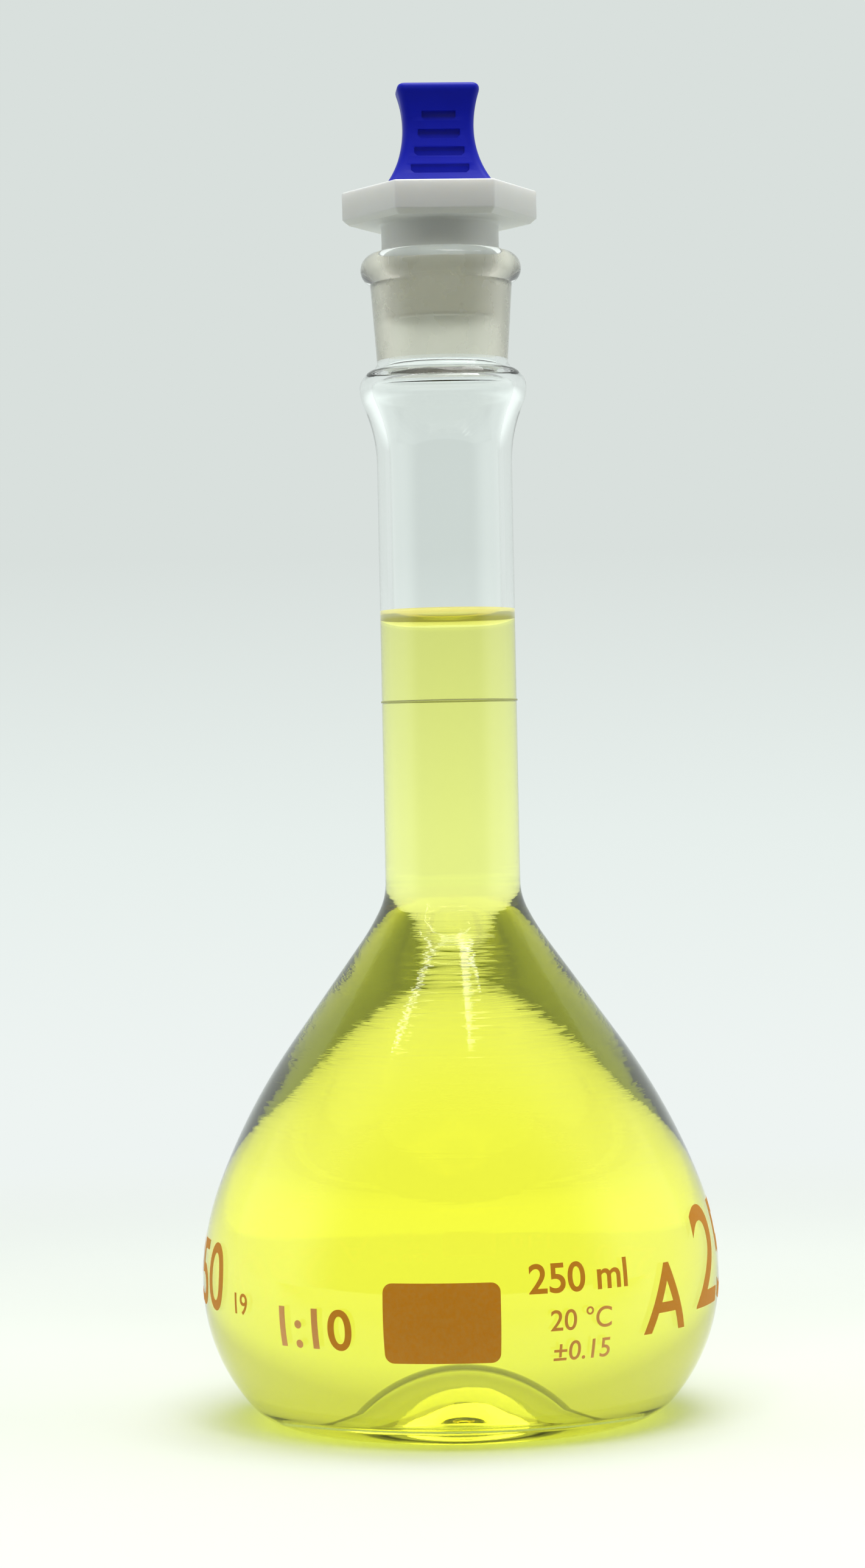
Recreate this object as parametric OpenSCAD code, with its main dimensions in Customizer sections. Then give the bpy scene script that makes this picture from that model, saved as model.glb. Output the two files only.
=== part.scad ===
// Pear-shaped volumetric flask with a ground taper mouth and a hexagonal plastic stopper.
// Millimetres, +Z up. The foot stands on z = 0 and the flask is turned about the Z axis.
// The writing patch faces -Y.

/* [Capacity] */
// Volume that the flask holds up to its graduation ring, in millilitres
capacity_ml = 250; // [190:5:310]
// Height of the graduation ring above the top of the shoulder
ring_above_shoulder = 28.7; // [12:0.1:45]
// Height of the liquid's surface above the graduation ring
fill_above_ring = 11.8; // [0:0.1:15]

/* [Bulb] */
// Height of the bulb's widest circle above the table
bulb_z = 22; // [19:0.5:24]
// Radius of the bulb's side below its widest circle
lower_r = 29; // [26:0.5:34]
// Radius of the bulb's side just above its widest circle
belly_r = 43; // [36:0.5:50]
// Turn of the belly arc, in degrees
belly_turn = 21; // [16:0.5:26]
// Radius of the long flank above the belly
flank_r = 100; // [70:1:120]
// Slope of the shoulder's cone from the vertical, in degrees
shoulder_angle = 35.7; // [32:0.1:40]
// Radius of the hollow curve where the cone starts to turn upright
saddle_r = 37; // [25:0.5:45]
// Slope left for the last tight curve under the neck, in degrees
throat_turn = 26.5; // [18:0.5:30]
// Radius of the last curve under the neck
throat_r = 10; // [6:0.5:14]
// Wall of the bulb
bulb_wall = 1.2; // [1:0.1:2]

/* [Base] */
// Radius of the heel between foot and side
heel_r = 8; // [6:0.5:10]
// Radius of the heel inside the bulb
inner_heel_r = 6.5; // [5:0.5:8]
// Width of the flat ring that the flask stands on
foot_ring_w = 2.2; // [1.5:0.1:4]
// Depth of the recess inside that ring
foot_recess = 0.8; // [0.4:0.1:1.2]
// Height of the pushed-up middle of the base
punt_h = 10; // [5:0.5:11]
// Radius of the pushed-up middle
punt_r = 18.5; // [14:0.5:20]
// Radius of the hollow curve round the pushed-up middle
punt_hollow_r = 5; // [4:0.5:7]
// Thickness of the base
base_wall = 2.4; // [1.8:0.1:3.5]

/* [Neck] */
// Outside diameter of the neck
neck_od = 21.5; // [20:0.1:23]
// Bore of the neck
neck_bore = 17.4; // [15.8:0.1:18.4]
// Straight length of the neck, from shoulder to bulge
neck_l = 66.5; // [60:0.5:90]
// Diameter of the mixing bulge below the mouth
bulge_d = 26.6; // [25:0.1:29]
// Wall of the mixing bulge
bulge_wall = 2; // [1.6:0.1:2.4]
// Radius of the hollow curve from neck to bulge
flare_r = 23; // [16:0.5:30]
// Radius of the bulge's crown on its lower side
crown_r = 6.5; // [5:0.5:9]
// Radius of the bulge's brow on its upper side
brow_r = 3.2; // [2.6:0.1:4]
// Radius of the hollow curve from bulge to socket
nape_r = 1.5; // [1:0.1:2.5]

/* [Mouth] */
// Diameter of the ground socket at the rim
socket_d = 18.8; // [18:0.1:19.4]
// Length of the ground socket
socket_l = 17; // [14:0.5:20]
// Taper of the socket: change of diameter over length, as one in so many
taper_ratio = 10; // [8:0.5:14]
// Wall of the socket
socket_wall = 1.9; // [1.6:0.1:2.4]
// Radius of the beaded rim
bead_r = 2.6; // [2.2:0.1:3]
// How far the bead stands out from the socket's wall
bead_out = 1.5; // [1:0.1:2]
// Rounding of the mouth's inner edge
mouth_round = 0.5; // [0.3:0.1:0.8]

/* [Marks] */
// Height of the graduation ring's line
ring_h = 0.25; // [0.2:0.05:0.8]
// Thickness of the fired enamel
enamel_t = 0.12; // [0.08:0.01:0.3]
// Width of the writing patch
patch_w = 17.8; // [12:0.2:24]
// Height of the writing patch
patch_h = 12.2; // [8:0.2:14]
// Corner radius of the writing patch
patch_r = 1.4; // [0.8:0.1:3]
// Height of the writing patch's middle
patch_z = 20.2; // [17:0.1:22]

/* [Liquid] */
// How far the liquid climbs at the wall
meniscus_rise = 2.8; // [1:0.1:3.5]
// Length over which the climb dies out
meniscus_l = 2.4; // [1.5:0.1:4]

/* [Plug] */
// Across flats of the hexagonal flange
flange_flats = 27; // [25:0.5:34]
// Thickness of the flange
flange_h = 5.3; // [4:0.1:8]
// Bevel under the flange
flange_bevel = 0.9; // [0.4:0.1:1.2]
// Bevel on top of the flange
flange_edge = 0.3; // [0.1:0.1:0.6]
// Length of the shank seen between rim and flange
shank_l = 4.5; // [3:0.1:8]
// Length of the plug inside the socket
plug_l = 10.8; // [8:0.1:13]
// Wall of the hollow plug
plug_wall = 1.6; // [1.2:0.1:2.2]
// Solid web left between the stem's well and the hollow
web_h = 2; // [1.2:0.1:3]
// Rounding under the flange and at the plug's tip
plug_round = 0.6; // [0.3:0.1:0.8]
// How far the stopper is turned in its socket, in degrees
stopper_turn = 8; // [0:1:60]

/* [Grip] */
// Height of the grip above the flange
grip_h = 17; // [14:0.5:22]
// Width of the grip at its waist
waist_w = 11.3; // [10:0.1:14]
// Depth of the grip at its waist
waist_d = 4.6; // [4.2:0.1:6]
// Height of the waist above the flange
waist_z = 10.1; // [7:0.1:11]
// Height of the upright foot on the flange
grip_foot_h = 1.2; // [0.6:0.1:2]
// Radius of the sides' flare below the waist
flare_side_r = 16.3; // [12:0.1:20]
// Radius of the faces' flare below the waist
flare_face_r = 17; // [12:0.5:20]
// Radius of the sides' flare above the waist
rise_side_r = 18; // [14:0.5:30]
// Radius of the faces' flare above the waist
rise_face_r = 17; // [14:0.5:30]
// Rounding of the grip's upright edges
grip_edge_r = 1.3; // [0.8:0.1:2]
// Rounding of the grip's top edge
grip_top_r = 0.8; // [0.4:0.1:1.2]
// Number of finger slots on each face
slot_count = 4; // [1:1:4]
// Height of the lowest slot's floor above the flange
slot_z = 2.4; // [1.8:0.1:3]
// Distance from one slot to the next
slot_pitch = 2.87; // [2.4:0.01:3.4]
// Height of a slot
slot_h = 1.5; // [1:0.1:1.8]
// Width of the top slot
slot_w = 5.4; // [4:0.1:6]
// How much wider each lower slot is
slot_step = 1.3; // [0.8:0.1:1.5]
// Depth of a slot
slot_depth = 0.8; // [0.4:0.1:1]
// Diameter of the stem that is pressed into the plug
stem_d = 8; // [6:0.1:9]
// Length of the stem
stem_l = 7; // [5:0.1:8]
// Height of the snap bead on the stem, out from its side
snap_h = 0.25; // [0.1:0.05:0.4]

/* [Fits] */
// Clearance between the plug's cone and the socket, on the radius
seat_gap = 0.05; // [0.02:0.01:0.1]
// Clearance between stem and well, on the radius
stem_gap = 0.05; // [0.02:0.01:0.1]
// Clearance between the glass and the enamel or the liquid
glass_gap = 0.02; // [0.01:0.01:0.1]

/* [Hidden] */

arc_step = 4;
fine_step = 12;
round_fn = 96;
solve_passes = 30;
overcut = 1;

neck_or = neck_od / 2;
neck_ir = neck_bore / 2;
cone_slope = 1 / (2 * taper_ratio);
cone_angle = atan(cone_slope);

// ---- Tangent arcs -------------------------------------------------------------------------
// Outlines are traced in the r-z plane. Heading 0 points away from the axis and 90 points up.

function last(list) = list[len(list) - 1];

// Points along an arc that leaves start at a heading and bends by turn, left if positive
function arc(start, heading, radius, turn, step = arc_step) =
    let (count = max(2, ceil(abs(turn) / step)), side = sign(turn))
    [for (i = [1:count]) let (h = heading + turn * i / count)
        start + side * radius * [sin(h) - sin(heading), cos(heading) - cos(h)]];

// Enclosed volume of a turned outline, traced from the axis upwards
function turned_volume(outline) =
    let (slices = [for (i = [1:len(outline) - 1]) let (a = outline[i - 1], b = outline[i])
        PI / 3 * (a[0] * a[0] + a[0] * b[0] + b[0] * b[0]) * (b[1] - a[1])])
    slices * [for (s = slices) 1];

// ---- Bulb ---------------------------------------------------------------------------------

// Where the heel leaves the floor: the angle it turns, and the radius at which it starts
function heel_turn(inset, floor_z, heel) =
    acos((bulb_z - floor_z - heel) / (lower_r - inset - heel));
function heel_start(bulb_r, inset, floor_z, heel) =
    let (beta = heel_turn(inset, floor_z, heel))
    bulb_r - inset - heel * sin(beta) - (lower_r - inset) * (1 - sin(beta));

// Pushed-up middle, foot, heel and lower side, up to the widest circle. The middle is a crown and
// a hollow curve, and thick is how far its outline lies inside the glass.
function base_outline(bulb_r, inset, floor_z, heel, thick) =
    let (
        foot_ir = heel_start(bulb_r, 0, 0, heel_r) - foot_ring_w,
        rise_r = min(punt_r, foot_ir - 2 * foot_recess),
        swing = 2 * atan((punt_h - foot_recess) / rise_r),
        crown = arc([0, punt_h + thick], 0, rise_r / sin(swing) - punt_hollow_r + thick, -swing),
        hollow = arc(last(crown), -swing, punt_hollow_r - thick, swing, fine_step),
        ledge = thick > 0 ? [] : [[foot_ir - foot_recess, last(hollow)[1]], [foot_ir, floor_z]],
        beta = heel_turn(inset, floor_z, heel),
        start = [heel_start(bulb_r, inset, floor_z, heel), floor_z],
        corner = arc(start, 0, heel, beta)
    )
    concat([[0, punt_h + thick]], crown, hollow, ledge, [start], corner,
        arc(last(corner), beta, lower_r - inset, 90 - beta));

// Belly, flank, cone, saddle and throat, from the widest circle to the neck
function shoulder_outline(bulb_r, inset, neck_r) =
    let (
        belly = arc([bulb_r - inset, bulb_z], 90, belly_r - inset, belly_turn),
        flank = arc(last(belly), 90 + belly_turn, flank_r - inset, shoulder_angle - belly_turn, arc_step / 2),
        saddle_in = (saddle_r + inset) * (cos(throat_turn) - cos(shoulder_angle)),
        throat_in = (throat_r + inset) * (1 - cos(throat_turn)),
        cone_l = (last(flank)[0] - neck_r - saddle_in - throat_in) / sin(shoulder_angle),
        cone_end = last(flank) + cone_l * [-sin(shoulder_angle), cos(shoulder_angle)],
        saddle = arc(cone_end, 90 + shoulder_angle, saddle_r + inset, throat_turn - shoulder_angle, arc_step / 2)
    )
    concat(belly, flank, [cone_end], saddle, arc(last(saddle), 90 + throat_turn, throat_r + inset, -throat_turn));

function bulb_outside(bulb_r, gap = 0) =
    concat(base_outline(bulb_r, -gap, -gap, heel_r + gap, -gap), shoulder_outline(bulb_r, -gap, neck_or + gap));
function bulb_inside(bulb_r, gap = 0) =
    concat(base_outline(bulb_r, bulb_wall + gap, foot_recess + base_wall + gap,
            inner_heel_r - gap, base_wall + gap),
        shoulder_outline(bulb_r, bulb_wall + gap, neck_ir - gap));

// ---- Capacity -----------------------------------------------------------------------------
// The bulb's radius is solved by halving, so that the flask holds capacity_ml up to its ring.
// The bracket is set by the neck, because a bulb is always several necks wide.
least_bulb_r = 1.5 * neck_od;
most_bulb_r = 2.5 * neck_od;

function ring_height(bulb_r) = last(bulb_outside(bulb_r))[1] + ring_above_shoulder;
function held_ml(bulb_r) =
    turned_volume(concat(bulb_inside(bulb_r), [[neck_ir, ring_height(bulb_r)]])) / 1000;
function solve_radius(low, high, pass = 0) =
    let (middle = (low + high) / 2)
    pass == solve_passes ? middle
    : held_ml(middle) < capacity_ml ? solve_radius(middle, high, pass + 1)
    : solve_radius(low, middle, pass + 1);

bulb_r = solve_radius(least_bulb_r, most_bulb_r);
shoulder_top_z = last(bulb_outside(bulb_r))[1];
ring_z = ring_height(bulb_r);
fill_z = ring_z + fill_above_ring;

// ---- Neck, bulge and mouth ----------------------------------------------------------------

bulge_start_z = shoulder_top_z + neck_l;

// Mixing bulge between the neck and the socket, traced upwards. low_r and high_r are the radii
// of its convex curves, and in_r and out_r those of the hollow curves below and above.
function bulge_outline(start_r, peak_r, end_r, in_r, low_r, high_r, out_r) =
    let (
        rise = acos(1 - (peak_r - start_r) / (in_r + low_r)),
        fall = acos((high_r + out_r * cos(cone_angle) - peak_r + end_r) / (high_r + out_r)),
        foot = arc([start_r, bulge_start_z], 90, in_r, -rise),
        crown = arc(last(foot), 90 - rise, low_r, rise, fine_step / 2),
        brow = arc(last(crown), 90, high_r, fall, fine_step)
    )
    concat([[start_r, bulge_start_z]], foot, crown, brow,
        arc(last(brow), 90 + fall, out_r, -fall - cone_angle, fine_step));

socket_r = socket_d / 2;
socket_end_r = socket_r - socket_l * cone_slope;

outer_bulge = bulge_outline(neck_or, bulge_d / 2, socket_end_r + socket_wall,
    flare_r, crown_r, brow_r, nape_r);
inner_bulge = bulge_outline(neck_ir, bulge_d / 2 - bulge_wall, socket_end_r,
    flare_r + bulge_wall, crown_r - bulge_wall, brow_r - bulge_wall, nape_r + bulge_wall);

socket_end_z = last(inner_bulge)[1];
rim_z = socket_end_z + socket_l;

// Radius of the ground socket at a height
function socket_radius(z) = socket_r - (rim_z - z) * cone_slope;

// Beaded rim, traced over the top from the socket's outside to its inside
bead_centre = [socket_r + socket_wall + bead_out - bead_r, rim_z - bead_r];
bead_angle = acos((socket_r + socket_wall - bead_centre[0]) / bead_r);
bead_start = bead_centre + bead_r * [cos(bead_angle), -sin(bead_angle)];
rim_start = [socket_r + mouth_round, rim_z];
bead = concat([bead_start], arc(bead_start, 90 - bead_angle, bead_r, 90 + bead_angle, fine_step),
    [rim_start], arc(rim_start, 180, mouth_round, 90, fine_step * 2));

function reversed(list) = [for (i = [len(list) - 1:-1:0]) list[i]];

module flask_body() {
    inside = concat(bulb_inside(bulb_r), inner_bulge);
    color([0.86, 0.93, 0.9, 0.4])
        rotate_extrude($fn = round_fn)
            polygon(concat(bulb_outside(bulb_r), outer_bulge, bead, reversed(inside)));
}

// ---- Marks --------------------------------------------------------------------------------

// Fired line round the neck
module graduation_ring() {
    color("saddlebrown")
        translate([0, 0, ring_z - ring_h / 2])
            difference() {
                cylinder(r = neck_or + glass_gap + enamel_t, h = ring_h, $fn = round_fn);
                translate([0, 0, -overcut])
                    cylinder(r = neck_or + glass_gap, h = ring_h + 2 * overcut, $fn = round_fn);
            }
}

// Upright rounded plate, facing -Y, from the axis outwards
module patch_plate() {
    straight_w = patch_w - 2 * patch_r;
    straight_h = patch_h - 2 * patch_r;
    rotate([90, 0, 0])
        linear_extrude(height = bulb_r + overcut) {
            square([patch_w, straight_h], center = true);
            square([straight_w, patch_h], center = true);
            for (x = [-1, 1], y = [-1, 1])
                translate([x * straight_w / 2, y * straight_h / 2])
                    circle(r = patch_r, $fn = round_fn);
        }
}

// Part of the bulb's outside that the patch lies on, lifted off the glass by a gap
function patch_ground(gap) =
    [for (p = bulb_outside(bulb_r, gap)) if (p[0] > neck_or * 2 && abs(p[1] - patch_z) < patch_h) p];

// Enamel patch that can be written on, fired onto the bulb
module marking_patch() {
    color("peru")
        intersection() {
            translate([0, 0, patch_z])
                patch_plate();
            rotate_extrude($fn = round_fn)
                polygon(concat(patch_ground(glass_gap + enamel_t), reversed(patch_ground(glass_gap))));
        }
}

// ---- Liquid -------------------------------------------------------------------------------

// Height of the liquid's surface at a radius: flat in the middle, climbing at the wall
function surface_z(r) =
    let (wall_r = neck_ir - glass_gap, ground = exp(-wall_r / meniscus_l))
    fill_z + meniscus_rise * (exp((r - wall_r) / meniscus_l) - ground) / (1 - ground);

module solution() {
    wall_r = neck_ir - glass_gap;
    surface = [for (share = [1:-0.1:0]) [wall_r * share, surface_z(wall_r * share)]];
    color([0.95, 1, 0.2, 0.7])
        rotate_extrude($fn = round_fn)
            polygon(concat(bulb_inside(bulb_r, glass_gap), surface));
}

// ---- Stopper plug -------------------------------------------------------------------------

flange_r = flange_flats / 2 / cos(30);
flange_z = rim_z + shank_l;
flange_top_z = flange_z + flange_h;
plug_tip_z = rim_z - plug_l;
shank_r = socket_r - seat_gap;
tip_r = socket_radius(plug_tip_z) - seat_gap;
well_r = stem_d / 2 + stem_gap;
well_z = flange_top_z - stem_l - stem_gap;
hollow_z = well_z - web_h;
snap_z = flange_top_z - stem_l / 2;

// Six-sided flange, bevelled above and below
module flange() {
    translate([0, 0, flange_z]) {
        cylinder(r1 = flange_r - flange_bevel, r2 = flange_r, h = flange_bevel, $fn = 6);
        translate([0, 0, flange_bevel])
            cylinder(r = flange_r, h = flange_h - flange_bevel - flange_edge, $fn = 6);
        translate([0, 0, flange_h - flange_edge])
            cylinder(r1 = flange_r, r2 = flange_r - flange_edge, h = flange_edge, $fn = 6);
    }
}

// Turned shank: cone in the socket, cylinder above the rim, fillet under the flange
module shank() {
    tip = arc([tip_r - plug_round, plug_tip_z], 0, plug_round, 90 - cone_angle, fine_step * 2);
    fillet = arc([shank_r, flange_z - plug_round], 90, plug_round, -90, fine_step * 2);
    rotate_extrude($fn = round_fn)
        polygon(concat([[0, plug_tip_z], [tip_r - plug_round, plug_tip_z]], tip,
            [[shank_r, rim_z], [shank_r, flange_z - plug_round]], fillet,
            [[0, flange_z + flange_bevel]]));
}

// A round stem or well with its snap ring at half depth
module stem_form(radius, top_z, bottom_z) {
    rotate_extrude($fn = round_fn)
        polygon([[0, bottom_z], [radius, bottom_z], [radius, snap_z - 3 * snap_h],
            [radius + snap_h, snap_z - snap_h], [radius + snap_h, snap_z + snap_h],
            [radius, snap_z + 2 * snap_h], [radius, top_z], [0, top_z]]);
}

// Space inside the plug, open at its tip
module plug_hollow() {
    hollow_tip_r = socket_radius(plug_tip_z - overcut) - plug_wall;
    hollow_top_r = min(socket_radius(hollow_z), socket_r) - plug_wall;
    translate([0, 0, plug_tip_z - overcut])
        cylinder(r1 = hollow_tip_r, r2 = hollow_top_r, h = hollow_z - plug_tip_z + overcut, $fn = round_fn);
}

module stopper_plug() {
    color("whitesmoke")
        rotate([0, 0, stopper_turn])
            difference() {
                union() {
                    flange();
                    shank();
                }
                plug_hollow();
                stem_form(well_r, flange_top_z + overcut, well_z);
            }
}

// ---- Stopper grip -------------------------------------------------------------------------

corner_points = 6;
flare_levels = 12;
rise_levels = 8;
top_levels = 4;

// Half the width or depth of the grip at a height above the flange
function flared(half_waist, low_r, high_r, h) =
    let (away = min(waist_z - h, waist_z - grip_foot_h), radius = away > 0 ? low_r : high_r)
    half_waist + radius - sqrt(radius * radius - away * away);

// Rounded oblong with half sizes w and d, at height h
function oblong(w, d, edge, h) =
    [for (corner = [0:3], i = [0:corner_points])
        let (
            angle = corner * 90 + i * 90 / corner_points,
            sx = (corner == 0 || corner == 3) ? 1 : -1,
            sy = corner < 2 ? 1 : -1
        )
        [sx * (w - edge) + edge * cos(angle), sy * (d - edge) + edge * sin(angle), h]];

// Heights of the grip's sections, each with how far the top rounding draws it in
grip_sections = concat(
    [[0, 0]],
    [for (i = [0:flare_levels]) [grip_foot_h + (waist_z - grip_foot_h) * i / flare_levels, 0]],
    [for (i = [1:rise_levels]) [waist_z + (grip_h - grip_top_r - waist_z) * i / rise_levels, 0]],
    [for (i = [1:top_levels]) let (a = 90 * i / top_levels)
        [grip_h - grip_top_r * (1 - sin(a)), grip_top_r * (1 - cos(a))]]
);

function grip_section(h, drawn) =
    oblong(flared(waist_w / 2, flare_side_r, rise_side_r, h) - drawn,
        flared(waist_d / 2, flare_face_r, rise_face_r, h) - drawn,
        grip_edge_r - drawn / 2, h);

// Skinned stack of sections
module skinned(sections) {
    size = len(sections[0]);
    count = len(sections);
    sides = [for (s = [0:count - 2], i = [0:size - 1]) let (j = (i + 1) % size)
        [s * size + i, (s + 1) * size + i, (s + 1) * size + j, s * size + j]];
    polyhedron(
        points = [for (section = sections, p = section) p],
        faces = concat(sides, [[for (i = [0:size - 1]) i]],
            [[for (i = [size - 1:-1:0]) (count - 1) * size + i]])
    );
}

// One finger slot, with its lower corners cut off, reaching out from the face's floor
module finger_slot(width, h) {
    floor_y = flared(waist_d / 2, flare_face_r, rise_face_r, h + slot_h / 2) - slot_depth;
    cut = slot_h / 3;
    translate([0, -floor_y, h])
        rotate([90, 0, 0])
            linear_extrude(height = waist_d)
                polygon([[-width / 2 + cut, 0], [width / 2 - cut, 0], [width / 2, cut],
                    [width / 2, slot_h - cut], [width / 2 - cut, slot_h],
                    [-width / 2 + cut, slot_h], [-width / 2, slot_h - cut], [-width / 2, cut]]);
}

module stopper_grip() {
    color("mediumblue")
        rotate([0, 0, stopper_turn]) {
            translate([0, 0, flange_top_z])
                difference() {
                    skinned([for (s = grip_sections) grip_section(s[0], s[1])]);
                    for (face = [0, 180], i = [0:slot_count - 1])
                        rotate([0, 0, face])
                            finger_slot(slot_w + slot_step * (slot_count - 1 - i), slot_z + slot_pitch * i);
                }
            stem_form(stem_d / 2, flange_top_z + grip_foot_h, flange_top_z - stem_l);
        }
}

flask_body();
graduation_ring();
marking_patch();
solution();
stopper_plug();
stopper_grip();
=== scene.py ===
import math

import bmesh
import bpy
from mathutils import Matrix, Vector


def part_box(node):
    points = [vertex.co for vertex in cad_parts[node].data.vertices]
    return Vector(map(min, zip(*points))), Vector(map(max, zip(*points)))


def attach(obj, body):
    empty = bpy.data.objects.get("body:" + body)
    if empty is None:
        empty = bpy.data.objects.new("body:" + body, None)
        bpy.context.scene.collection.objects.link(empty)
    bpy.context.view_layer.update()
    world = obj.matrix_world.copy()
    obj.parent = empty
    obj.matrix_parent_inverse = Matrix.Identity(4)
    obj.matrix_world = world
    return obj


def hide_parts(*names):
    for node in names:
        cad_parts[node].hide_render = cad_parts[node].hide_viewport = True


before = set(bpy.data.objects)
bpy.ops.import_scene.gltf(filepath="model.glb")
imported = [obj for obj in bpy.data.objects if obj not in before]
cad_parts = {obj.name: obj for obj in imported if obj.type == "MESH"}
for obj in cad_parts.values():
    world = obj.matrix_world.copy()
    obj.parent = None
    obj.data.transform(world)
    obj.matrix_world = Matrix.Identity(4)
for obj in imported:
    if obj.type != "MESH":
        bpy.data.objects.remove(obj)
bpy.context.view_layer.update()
MM = 0.001

# ---- Camera --------------------------------------------------------------------------------
# A long lens, level with the lower neck and a little off the middle of the writing patch. A
# small roll, pan and tilt set the flask in the frame.
CAMERA_RANGE = 606 * MM
CAMERA_HEIGHT = 102.3 * MM
CAMERA_AZIMUTH = math.radians(4.2)
CAMERA_PAN = math.radians(0.278)
CAMERA_TILT = math.radians(-0.17)
CAMERA_ROLL = math.radians(-1.15)
FILM_HEIGHT = 36
LENS = 87.27

camera_data = bpy.data.cameras.new("camera")
camera_data.sensor_fit = "VERTICAL"
camera_data.sensor_height = FILM_HEIGHT
camera_data.lens = LENS
camera = bpy.data.objects.new("camera", camera_data)
bpy.context.scene.collection.objects.link(camera)
camera.matrix_world = (
    Matrix.Translation(
        (
            CAMERA_RANGE * math.sin(CAMERA_AZIMUTH),
            -CAMERA_RANGE * math.cos(CAMERA_AZIMUTH),
            CAMERA_HEIGHT,
        )
    )
    @ Matrix.Rotation(CAMERA_AZIMUTH + CAMERA_PAN, 4, "Z")
    @ Matrix.Rotation(math.radians(90) + CAMERA_TILT, 4, "X")
    @ Matrix.Rotation(CAMERA_ROLL, 4, "Z")
)
bpy.context.scene.camera = camera

# ---- Flask body ----------------------------------------------------------------------------
# One piece of borosilicate glass: a blown pear bulb on a pressed foot, fused to drawn tube.
# The tube is opened into a mixing bulge and a taper socket, whose bore is ground matt, and
# the rim is melted into a bead. Tooling leaves faint rings on the shoulder.
BULB_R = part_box("flask_body")[1].x / MM
BULB_Z = 22
LOWER_R = 29
BELLY_R = 43
BELLY_TURN = 21
FLANK_R = 100
SHOULDER_ANGLE = 35.7
SADDLE_R = 37
THROAT_TURN = 26.5
THROAT_R = 10
BULB_WALL = 1.2
HEEL_R = 8
INNER_HEEL_R = 6.5
FOOT_RING_W = 2.2
PUNT_H = 10
PUNT_R = 18.5
PUNT_HOLLOW_R = 5
FOOT_RECESS = 0.8
BASE_WALL = 2.4
NECK_R = 21.5 / 2
BORE_R = 17.4 / 2
NECK_L = 66.5
BULGE_R = 26.6 / 2
BULGE_WALL = 2
FLARE_R = 23
CROWN_R = 6.5
BROW_R = 3.2
NAPE_R = 1.5
RIM_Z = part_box("flask_body")[1].z / MM
SOCKET_R = 18.8 / 2
SOCKET_L = 17
SOCKET_SLOPE = 1 / 20
SOCKET_WALL = 1.9
BEAD_R = 2.6
BEAD_OUT = 1.5
MOUTH_ROUND = 0.5
GLASS_TURNS = 144
GLASS_COLOUR = "FCFEFD"
GLASS_IOR = 1.473
RIPPLE_DEPTH = 0.03
RIPPLE_LENGTH = 5.0
RIPPLE_RUN = 24.0
DRAG_LENGTH = 1.1
DRAG_RUN = 22.0
DRAG_DEPTH = 0.03
# A zone's heights: where it starts, is full, starts to fade and ends.
DRAG_ZONE = (28, 46, 84, 92)
TOOLED_ZONE = (44, 58, 84, 96)
GLASS_SHADOW = "F0F3F1"
RIPPLE_SEED = 1
WELD_UNDER = 2e-6
CONE_STEPS = 16
NECK_STEPS = 20
SOCKET_STEPS = 12
SHARP_OVER = math.radians(50)


def linear(code, alpha=1.0):
    """An sRGB hex colour as linear RGBA."""
    parts = [int(code[i : i + 2], 16) / 255 for i in (0, 2, 4)]
    return (*(c / 12.92 if c <= 0.04045 else ((c + 0.055) / 1.055) ** 2.4 for c in parts), alpha)


def add(tree, kind, links=None, **settings):
    """A node in a tree, with its settings and with values or links for its inputs."""
    node = tree.nodes.new(kind)
    for key, value in settings.items():
        setattr(node, key, value)
    for key, value in (links or {}).items():
        if isinstance(value, bpy.types.NodeSocket):
            tree.links.new(value, node.inputs[key])
        else:
            node.inputs[key].default_value = value
    return node


def calc(tree, operation, *values):
    """The result of a maths node."""
    return add(tree, "ShaderNodeMath", dict(enumerate(values)), operation=operation).outputs[0]


def ramp(tree, value, start, end, low=0.0, high=1.0, shape="LINEAR"):
    """A value that goes from low to high between start and end, and is held beyond them."""
    inputs = {0: value, 1: start, 2: end, 3: low, 4: high}
    return add(tree, "ShaderNodeMapRange", inputs, interpolation_type=shape).outputs[0]


def blank_material(name):
    """A new material, and its empty node tree."""
    material = bpy.data.materials.new(name)
    material.use_nodes = True
    material.node_tree.nodes.clear()
    return material, material.node_tree


def let_shadows_through(tree, body, colour):
    """A body to all rays but shadow rays, which pass through it and take on a colour."""
    clear = add(tree, "ShaderNodeBsdfTransparent", {"Color": linear(colour)})
    shadow = add(tree, "ShaderNodeLightPath").outputs["Is Shadow Ray"]
    inputs = {0: shadow, 1: body.outputs[0], 2: clear.outputs[0]}
    return add(tree, "ShaderNodeMixShader", inputs).outputs[0]


def dress(mesh, material):
    """One material for the whole of a mesh."""
    mesh.materials.clear()
    mesh.materials.append(material)
    for polygon in mesh.polygons:
        polygon.material_index = 0


def arc(start, heading, radius, turn, step=1.5):
    """Points on an arc that leaves start at a heading, outwards 0 and upwards 90, bending left."""
    count = max(3, math.ceil(abs(turn) / step))
    side = math.copysign(1, turn)
    a = math.radians(heading)
    points = []
    for i in range(1, count + 1):
        b = a + math.radians(turn) * i / count
        points.append(
            (
                start[0] + side * radius * (math.sin(b) - math.sin(a)),
                start[1] + side * radius * (math.cos(a) - math.cos(b)),
            )
        )
    return points


def straight(start, end, count):
    """Points on the way from start to end, the end among them."""
    return [
        (start[0] + (end[0] - start[0]) * i / count, start[1] + (end[1] - start[1]) * i / count)
        for i in range(1, count + 1)
    ]


def sin_of(angle):
    return math.sin(math.radians(angle))


def cos_of(angle):
    return math.cos(math.radians(angle))


def heel_turn(inset, floor_z, heel):
    return math.degrees(math.acos((BULB_Z - floor_z - heel) / (LOWER_R - inset - heel)))


def heel_start(inset, floor_z, heel):
    beta = heel_turn(inset, floor_z, heel)
    return BULB_R - inset - heel * sin_of(beta) - (LOWER_R - inset) * (1 - sin_of(beta))


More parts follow.
